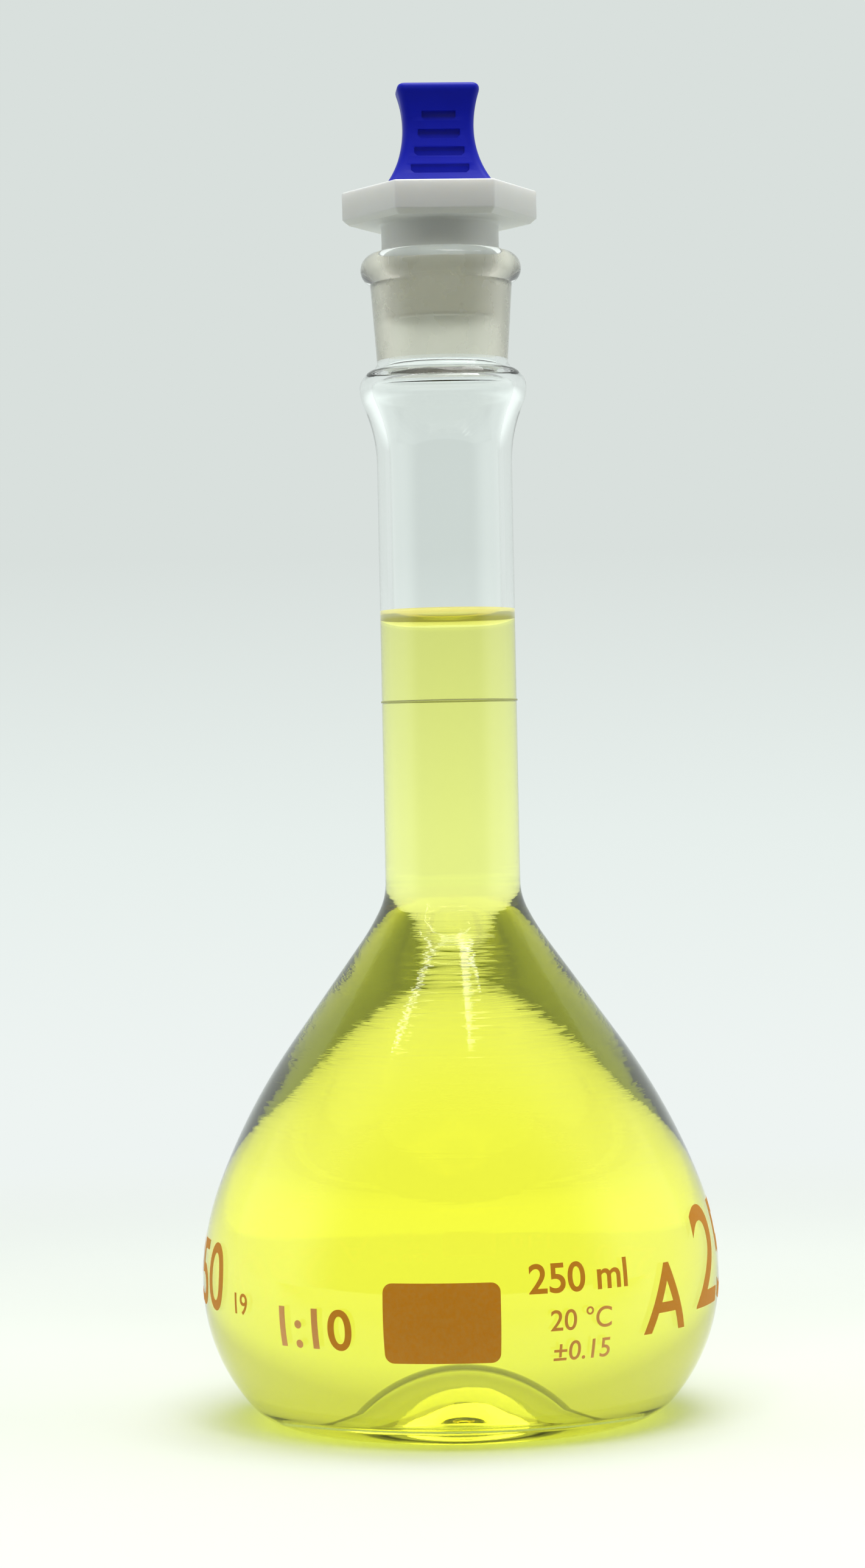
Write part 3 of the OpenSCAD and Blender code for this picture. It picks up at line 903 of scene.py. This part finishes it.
def skin_stack(name, sections, sharp=40):
    """A closed piece through a stack of like sections, each a list of points in millimetres."""
    mesh = bpy.data.meshes.new(name)
    count = len(sections[0])
    faces = []
    for low in range(0, count * (len(sections) - 1), count):
        high = low + count
        for i in range(count):
            after = (i + 1) % count
            faces.append((low + i, low + after, high + after, high + i))
    faces.append(tuple(reversed(range(count))))
    faces.append(tuple((len(sections) - 1) * count + i for i in range(count)))
    mesh.from_pydata([(x * MM, y * MM, z * MM) for s in sections for x, y, z in s], [], faces)
    skin = bmesh.new()
    skin.from_mesh(mesh)
    bmesh.ops.recalc_face_normals(skin, faces=skin.faces)
    skin.to_mesh(mesh)
    skin.free()
    mesh.shade_smooth()
    mesh.set_sharp_from_angle(angle=math.radians(sharp))
    piece = bpy.data.objects.new(name, mesh)
    bpy.context.scene.collection.objects.link(piece)
    return piece


def settle(piece, operation=None, other=None, bevel=None):
    """Applies a boolean with another piece, or a fine bevel, and leaves a plain mesh."""
    if other:
        modifier = piece.modifiers.new("cut", "BOOLEAN")
        modifier.operation = operation
        modifier.solver = "EXACT"
        modifier.object = other
    if bevel:
        modifier = piece.modifiers.new("edge", "BEVEL")
        modifier.width = bevel * MM
        modifier.segments = 2
        modifier.limit_method = "ANGLE"
        modifier.angle_limit = math.radians(38)
    bpy.context.view_layer.update()
    made = bpy.data.meshes.new_from_object(piece.evaluated_get(bpy.context.evaluated_depsgraph_get()))
    piece.modifiers.clear()
    piece.data = made
    if other:
        bpy.data.objects.remove(other)


def hexagon(inset, z):
    """Six-sided section with round corners, drawn in from its full size."""
    corner_r = FLANGE_CORNER
    reach = (FLANGE_FLATS / 2 - inset) / cos_of(30) - corner_r / cos_of(30)
    return [
        (
            reach * cos_of(side * 60) + corner_r * cos_of(side * 60 - 30 + 15 * i),
            reach * sin_of(side * 60) + corner_r * sin_of(side * 60 - 30 + 15 * i),
            z,
        )
        for side in range(6)
        for i in range(5)
    ]


flange_sections = [hexagon(FLANGE_BEVEL, flange_z)]
flange_sections += [hexagon(inset, flange_z + FLANGE_BEVEL + up) for inset, up in BEVEL_SOFT]
for turn in range(0, 91, EDGE_STEP):
    edge_z = flange_top_z - FLANGE_EDGE * (1 - sin_of(turn))
    flange_sections.append(hexagon(FLANGE_EDGE * (1 - cos_of(turn)), edge_z))
plug = skin_stack("stopper_plug_moulding", flange_sections)

tip_r = socket_radius(tip_z) - SEAT_GAP
shank_r = SOCKET_R - SEAT_GAP
lean = math.degrees(math.atan(SOCKET_SLOPE))
hollow_tip_r = socket_radius(tip_z) - PLUG_WALL
hollow_top_r = SOCKET_R - PLUG_WALL
shank_profile = [(0, hollow_z), (hollow_top_r - HOLLOW_ROUND, hollow_z)]
shank_profile += arc(shank_profile[-1], 0, HOLLOW_ROUND, -90, step=15)
shank_profile += straight(shank_profile[-1], (hollow_tip_r, tip_z + TIP_CHAMFER), 8)
shank_profile += [(hollow_tip_r + TIP_CHAMFER, tip_z), (tip_r - PLUG_ROUND, tip_z)]
shank_profile += arc(shank_profile[-1], 0, PLUG_ROUND, 90 - lean, step=12)
shank_profile += straight(shank_profile[-1], (shank_r, RIM_Z), 10)
shank_profile += straight((shank_r, RIM_Z), (shank_r, flange_z - PLUG_ROUND), 4)
shank_profile += arc(shank_profile[-1], 90, PLUG_ROUND, -90, step=12)
shank_profile += [(shank_r + PLUG_ROUND, flange_z + SHANK_SUNK), (0, flange_z + SHANK_SUNK)]
shank = turn_on_lathe("shank", shank_profile, None, turns=PLUG_TURNS)
settle(plug, "UNION", shank)
plug.data.transform(Matrix.Rotation(STOPPER_TURN, 4, "Z"))


def polyethylene_material():
    """High-density polyethylene, moulded: waxy white, satin, with soft light under its skin."""
    material, tree = blank_material("white polyethylene")
    place = add(tree, "ShaderNodeTexCoord").outputs["Object"]
    cloud = add(tree, "ShaderNodeTexNoise", {"Vector": place, "Scale": 220.0, "Detail": 4.0}).outputs[0]
    colour = blend(tree, cloud, linear(PLUG_COLOUR), linear(PLUG_LIGHT))
    skin = add(tree, "ShaderNodeTexNoise", {"Vector": place, "Scale": 5200.0, "Detail": 2.0}).outputs[0]
    bump = add(
        tree, "ShaderNodeBump", {"Height": skin, "Strength": 0.15, "Distance": 0.02 * MM}
    ).outputs[0]
    body = add(
        tree,
        "ShaderNodeBsdfPrincipled",
        {
            "Base Color": colour,
            "Roughness": 0.42,
            "IOR": 1.5,
            "Subsurface Weight": PE_WEIGHT,
            "Subsurface Radius": (1.0, 0.95, 0.85),
            "Subsurface Scale": PE_SCALE * MM,
            "Normal": bump,
        },
    )
    add(tree, "ShaderNodeOutputMaterial", {"Surface": body.outputs[0]})
    return material


polyethylene = polyethylene_material()
dress(plug.data, polyethylene)
plug.data.shade_smooth()
plug.data.set_sharp_from_angle(angle=math.radians(25))
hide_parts("stopper_plug")
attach(plug, "stopper")

# ---- Stopper grip --------------------------------------------------------------------------
# Blue polypropylene, moulded and pressed into the plug. It is waisted for finger and thumb,
# with four slots on each face, wider towards the flange.
GRIP_H = 17
WAIST_W = 11.3
WAIST_D = 4.6
WAIST_Z = 10.1
GRIP_FOOT_H = 1.2
FLARE_SIDE_R = 16.3
FLARE_FACE_R = 17
RISE_SIDE_R = 18
RISE_FACE_R = 17
GRIP_EDGE_R = 1.3
GRIP_TOP_R = 1.5
SLOT_Z = 2.4
SLOT_PITCH = 2.87
SLOT_H = 1.5
SLOT_W = 5.4
SLOT_STEP = 1.3
SLOT_DEPTH = 0.6
SLOTS = 4
CUTTER_L = 5
GRIP_BEVEL = 0.1
LOW_LEVELS = 24
HIGH_LEVELS = 20
CAP_STEP = 15
GRIP_COLOUR = "0010AC"
GRIP_LIGHT = "0418BC"


def flared(half_waist, low_r, high_r, h):
    away = min(WAIST_Z - h, WAIST_Z - GRIP_FOOT_H)
    radius = low_r if away > 0 else high_r
    return half_waist + radius - math.sqrt(radius**2 - away**2)


def oblong(w, d, edge, z):
    """Rounded oblong with half sizes w and d."""
    points = []
    for corner in range(4):
        for i in range(9):
            a = corner * 90 + i * 90 / 8
            sx = 1 if corner in (0, 3) else -1
            sy = 1 if corner < 2 else -1
            points.append((sx * (w - edge) + edge * cos_of(a), sy * (d - edge) + edge * sin_of(a), z))
    return points


def grip_section(h, drawn=0.0):
    return oblong(
        flared(WAIST_W / 2, FLARE_SIDE_R, RISE_SIDE_R, h) - drawn,
        flared(WAIST_D / 2, FLARE_FACE_R, RISE_FACE_R, h) - drawn,
        GRIP_EDGE_R - drawn / 2,
        flange_top_z + h,
    )


levels = [0.0]
for i in range(LOW_LEVELS + 1):
    levels.append(GRIP_FOOT_H + (WAIST_Z - GRIP_FOOT_H) * i / LOW_LEVELS)
for i in range(1, HIGH_LEVELS + 1):
    levels.append(WAIST_Z + (GRIP_H - GRIP_TOP_R - WAIST_Z) * i / HIGH_LEVELS)
sections = [grip_section(h) for h in levels]
for turn in range(CAP_STEP, 91, CAP_STEP):
    cap_h = GRIP_H - GRIP_TOP_R * (1 - sin_of(turn))
    sections.append(grip_section(cap_h, GRIP_TOP_R * (1 - cos_of(turn))))
grip = skin_stack("stopper_grip_moulding", sections)

for face in (1, -1):
    for i in range(SLOTS):
        h = SLOT_Z + SLOT_PITCH * i
        half = (SLOT_W + SLOT_STEP * (SLOTS - 1 - i)) / 2
        cut = SLOT_H / 3
        nick = SLOT_H / 12
        floor_y = flared(WAIST_D / 2, FLARE_FACE_R, RISE_FACE_R, h + SLOT_H / 2) - SLOT_DEPTH
        outline = [
            (-half + cut, 0),
            (half - cut, 0),
            (half, cut),
            (half, SLOT_H - nick),
            (half - nick, SLOT_H),
            (-half + nick, SLOT_H),
            (-half, SLOT_H - nick),
            (-half, cut),
        ]
        ends = [
            [(x, face * y, flange_top_z + h + z) for x, z in outline]
            for y in (floor_y, floor_y + CUTTER_L)
        ]
        settle(grip, "DIFFERENCE", skin_stack("slot_tool", ends))
settle(grip, bevel=GRIP_BEVEL)
grip.data.transform(Matrix.Rotation(STOPPER_TURN, 4, "Z"))
grip.data.shade_smooth()
grip.data.set_sharp_from_angle(angle=math.radians(35))


def polypropylene_material():
    """Polypropylene, moulded from a spark-eroded tool: deep blue with a fine matt grain."""
    material, tree = blank_material("blue polypropylene")
    place = add(tree, "ShaderNodeTexCoord").outputs["Object"]
    cloud = add(tree, "ShaderNodeTexNoise", {"Vector": place, "Scale": 300.0, "Detail": 4.0}).outputs[0]
    colour = blend(tree, cloud, linear(GRIP_COLOUR), linear(GRIP_LIGHT))
    grain = add(
        tree, "ShaderNodeTexNoise", {"Vector": place, "Scale": 4200.0, "Detail": 3.0}
    ).outputs[0]
    bump = add(
        tree, "ShaderNodeBump", {"Height": grain, "Strength": 0.3, "Distance": 0.03 * MM}
    ).outputs[0]
    body = add(
        tree,
        "ShaderNodeBsdfPrincipled",
        {
            "Base Color": colour,
            "Roughness": 0.45,
            "IOR": 1.49,
            "Specular IOR Level": 0.3,
            "Normal": bump,
        },
    )
    add(tree, "ShaderNodeOutputMaterial", {"Surface": body.outputs[0]})
    return material


polypropylene = polypropylene_material()
dress(grip.data, polypropylene)
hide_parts("stopper_grip")
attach(grip, "stopper")

# ---- Floor, backdrop and light -------------------------------------------------------------
# A pale sheet swept up behind the flask, with soft light from above and the sides. The room
# in front is dim. Near the flask the sheet takes its shadow, and away from it the sheet shows
# a set tone, a little brighter through glass. Its colours hold painted light: the yellower,
# brighter floor near the flask is a painted glow, the darker bend and wall are painted shade,
# the extra brightness through glass is a painted glow, and to bounce light the sheet in front
# is darker, which is painted shade on the flask's front.
SHEET_HALF = 1.6
SHEET_FRONT = -0.9
SHEET_BACK = 0.55
SHEET_BEND = 0.45
SHEET_TOP = 1.6
# Near the flask the floor is yellower and brighter: a painted glow of light through the liquid.
NEAR_FLOOR_GLOW = "F6FAEF"
# From the far floor up the bend to the wall the tone darkens: painted shade of the sweep.
FAR_FLOOR_COLOUR = "EEF4F2"
BEND_COLOUR = "E7EFEC"
WALL_COLOUR = "D9E0DD"
NEAR = 0.2
FAR = 0.42
NEAR_THROUGH = 0.05
FAR_THROUGH = 0.12
# Seen through glass the sheet shines above its own tone: a painted glow.
PAINTED_GLOW_THROUGH = 1.2
PAINTED_GLOW_TOP = 1.03
# To bounce light the sheet in front of the flask is darker: painted shade on the flask's front.
FRONT_PAINTED_SHADE = 0.2
BEND_STEP = 5
GLOW_TINT_FROM = 0.05
BEND_HIGH = 0.08
WALL_HIGH = 0.19
DIM_FROM = -0.03
DIM_TO = -0.12

sheet_line = [(SHEET_FRONT, 0.0), (0.0, 0.0), (SHEET_BACK, 0.0)]
sheet_line += [
    (SHEET_BACK + SHEET_BEND * sin_of(turn), SHEET_BEND * (1 - cos_of(turn)))
    for turn in range(BEND_STEP, 91, BEND_STEP)
]
sheet_line.append((SHEET_BACK + SHEET_BEND, SHEET_TOP))
sheet_mesh = bpy.data.meshes.new("sheet")
sheet_mesh.from_pydata(
    [(x, y, z) for y, z in sheet_line for x in (-SHEET_HALF, SHEET_HALF)],
    [],
    [(2 * i, 2 * i + 1, 2 * i + 3, 2 * i + 2) for i in range(len(sheet_line) - 1)],
)
sheet_mesh.shade_smooth()
sheet = bpy.data.objects.new("sheet", sheet_mesh)
bpy.context.scene.collection.objects.link(sheet)
sheet.matrix_world = Matrix.Rotation(CAMERA_AZIMUTH, 4, "Z")

paper, tree = blank_material("matt paper")
place = add(tree, "ShaderNodeTexCoord").outputs["Object"]
axes = add(tree, "ShaderNodeSeparateXYZ", {0: place}).outputs
away = add(tree, "ShaderNodeVectorMath", {0: place}, operation="LENGTH").outputs["Value"]
back = ramp(tree, away, GLOW_TINT_FROM, FAR)
rise = ramp(tree, axes["Z"], 0.0, BEND_HIGH)
top = ramp(tree, axes["Z"], BEND_HIGH, WALL_HIGH)
shade = blend(tree, back, linear(NEAR_FLOOR_GLOW), linear(FAR_FLOOR_COLOUR))
shade = blend(tree, rise, shade, linear(BEND_COLOUR))
shade = blend(tree, top, shade, linear(WALL_COLOUR))
ray = add(tree, "ShaderNodeLightPath").outputs
through = ray["Is Transmission Ray"]
seen = calc(tree, "MAXIMUM", ray["Is Camera Ray"], through)
# Painted shade: the sheet in front is darker to all rays but camera and transmission rays.
before = ramp(tree, axes["Y"], DIM_FROM, DIM_TO, 1.0, FRONT_PAINTED_SHADE)
before = calc(tree, "MAXIMUM", before, seen)
shade = add(
    tree, "ShaderNodeVectorMath", {0: shade, "Scale": before}, operation="SCALE"
).outputs[0]
seen = calc(tree, "MAXIMUM", seen, ray["Is Glossy Ray"])
start = ramp(tree, through, 0.0, 1.0, NEAR, NEAR_THROUGH)
end = ramp(tree, through, 0.0, 1.0, FAR, FAR_THROUGH)
distant = ramp(tree, away, start, end, shape="SMOOTHSTEP")
lit = calc(tree, "MULTIPLY", seen, distant)
# Painted glow: through glass the sheet's emission is stronger than 1.
glow = ramp(tree, top, 0.0, 1.0, PAINTED_GLOW_THROUGH, PAINTED_GLOW_TOP)
power = ramp(tree, through, 0.0, 1.0, 1.0, glow)
matt = add(tree, "ShaderNodeBsdfDiffuse", {"Color": shade})
even = add(tree, "ShaderNodeEmission", {"Color": shade, "Strength": power})
paper_body = add(tree, "ShaderNodeMixShader", {0: lit, 1: matt.outputs[0], 2: even.outputs[0]})
add(tree, "ShaderNodeOutputMaterial", {"Surface": paper_body.outputs[0]})
sheet_mesh.materials.append(paper)

ROOM_LIGHT = 0.9
TOP_POWER = 7.5
FRONT_POWER = 1.8
STRIP_X = -0.025
STRIP_LENGTH = 0.17
STRIP_WIDTH = 0.003
STRIP_POWER = 0.011
ROOM_FRONT = 0.15
ROOM_SEEN = 0.75
ROOM_TOP = 0.5
ROOM_COLOUR = "FBFFFE"
FACING_FROM = 0.1
FACING_TO = 0.6
CLIMB_FROM = 0.3
CLIMB_TO = 0.6

world = bpy.data.worlds.new("light tent")
bpy.context.scene.world = world
world.use_nodes = True
tree = world.node_tree
tree.nodes.clear()
way = add(tree, "ShaderNodeTexCoord").outputs["Generated"]
front = Vector((math.sin(CAMERA_AZIMUTH), -math.cos(CAMERA_AZIMUTH), 0))
facing = add(
    tree, "ShaderNodeVectorMath", {0: way, 1: tuple(front)}, operation="DOT_PRODUCT"
).outputs["Value"]
level = ramp(tree, facing, FACING_FROM, FACING_TO, ROOM_LIGHT, ROOM_FRONT, shape="SMOOTHSTEP")
climb = add(tree, "ShaderNodeSeparateXYZ", {0: way}).outputs["Z"]
above = ramp(tree, climb, CLIMB_FROM, CLIMB_TO, 1.0, ROOM_TOP, shape="SMOOTHSTEP")
level = calc(tree, "MULTIPLY", level, above)
ray = add(tree, "ShaderNodeLightPath").outputs["Is Camera Ray"]
level = ramp(tree, ray, 0.0, 1.0, level, ROOM_SEEN)
room = add(tree, "ShaderNodeBackground", {"Color": linear(ROOM_COLOUR), "Strength": level})
add(tree, "ShaderNodeOutputWorld", {"Surface": room.outputs[0]})


def lamp(name, place, aim, width, height, power):
    """An oblong lamp at a place, turned towards an aim."""
    data = bpy.data.lights.new(name, "AREA")
    data.shape = "RECTANGLE"
    data.size = width
    data.size_y = height
    data.energy = power
    light = bpy.data.objects.new(name, data)
    bpy.context.scene.collection.objects.link(light)
    light.location = place
    light.rotation_euler = (Vector(aim) - Vector(place)).to_track_quat("-Z", "Y").to_euler()
    return light


lamp(
    "top_softbox",
    place=(0.1, 0.1, 1.1),
    aim=(0, 0, 0.05),
    width=0.9,
    height=0.7,
    power=TOP_POWER,
)
front = lamp(
    "front_softbox",
    place=(0, -0.35, 0.7),
    aim=(0, 0, 0.1),
    width=0.5,
    height=0.15,
    power=FRONT_POWER,
)
front.visible_glossy = False
front.visible_transmission = False
strip = lamp(
    "front_strip",
    place=(STRIP_X, -0.07, 0.236),
    aim=(STRIP_X, 0, 0.1),
    width=STRIP_LENGTH,
    height=STRIP_WIDTH,
    power=STRIP_POWER,
)
strip.visible_diffuse = False

bpy.context.scene.view_settings.view_transform = "Standard"
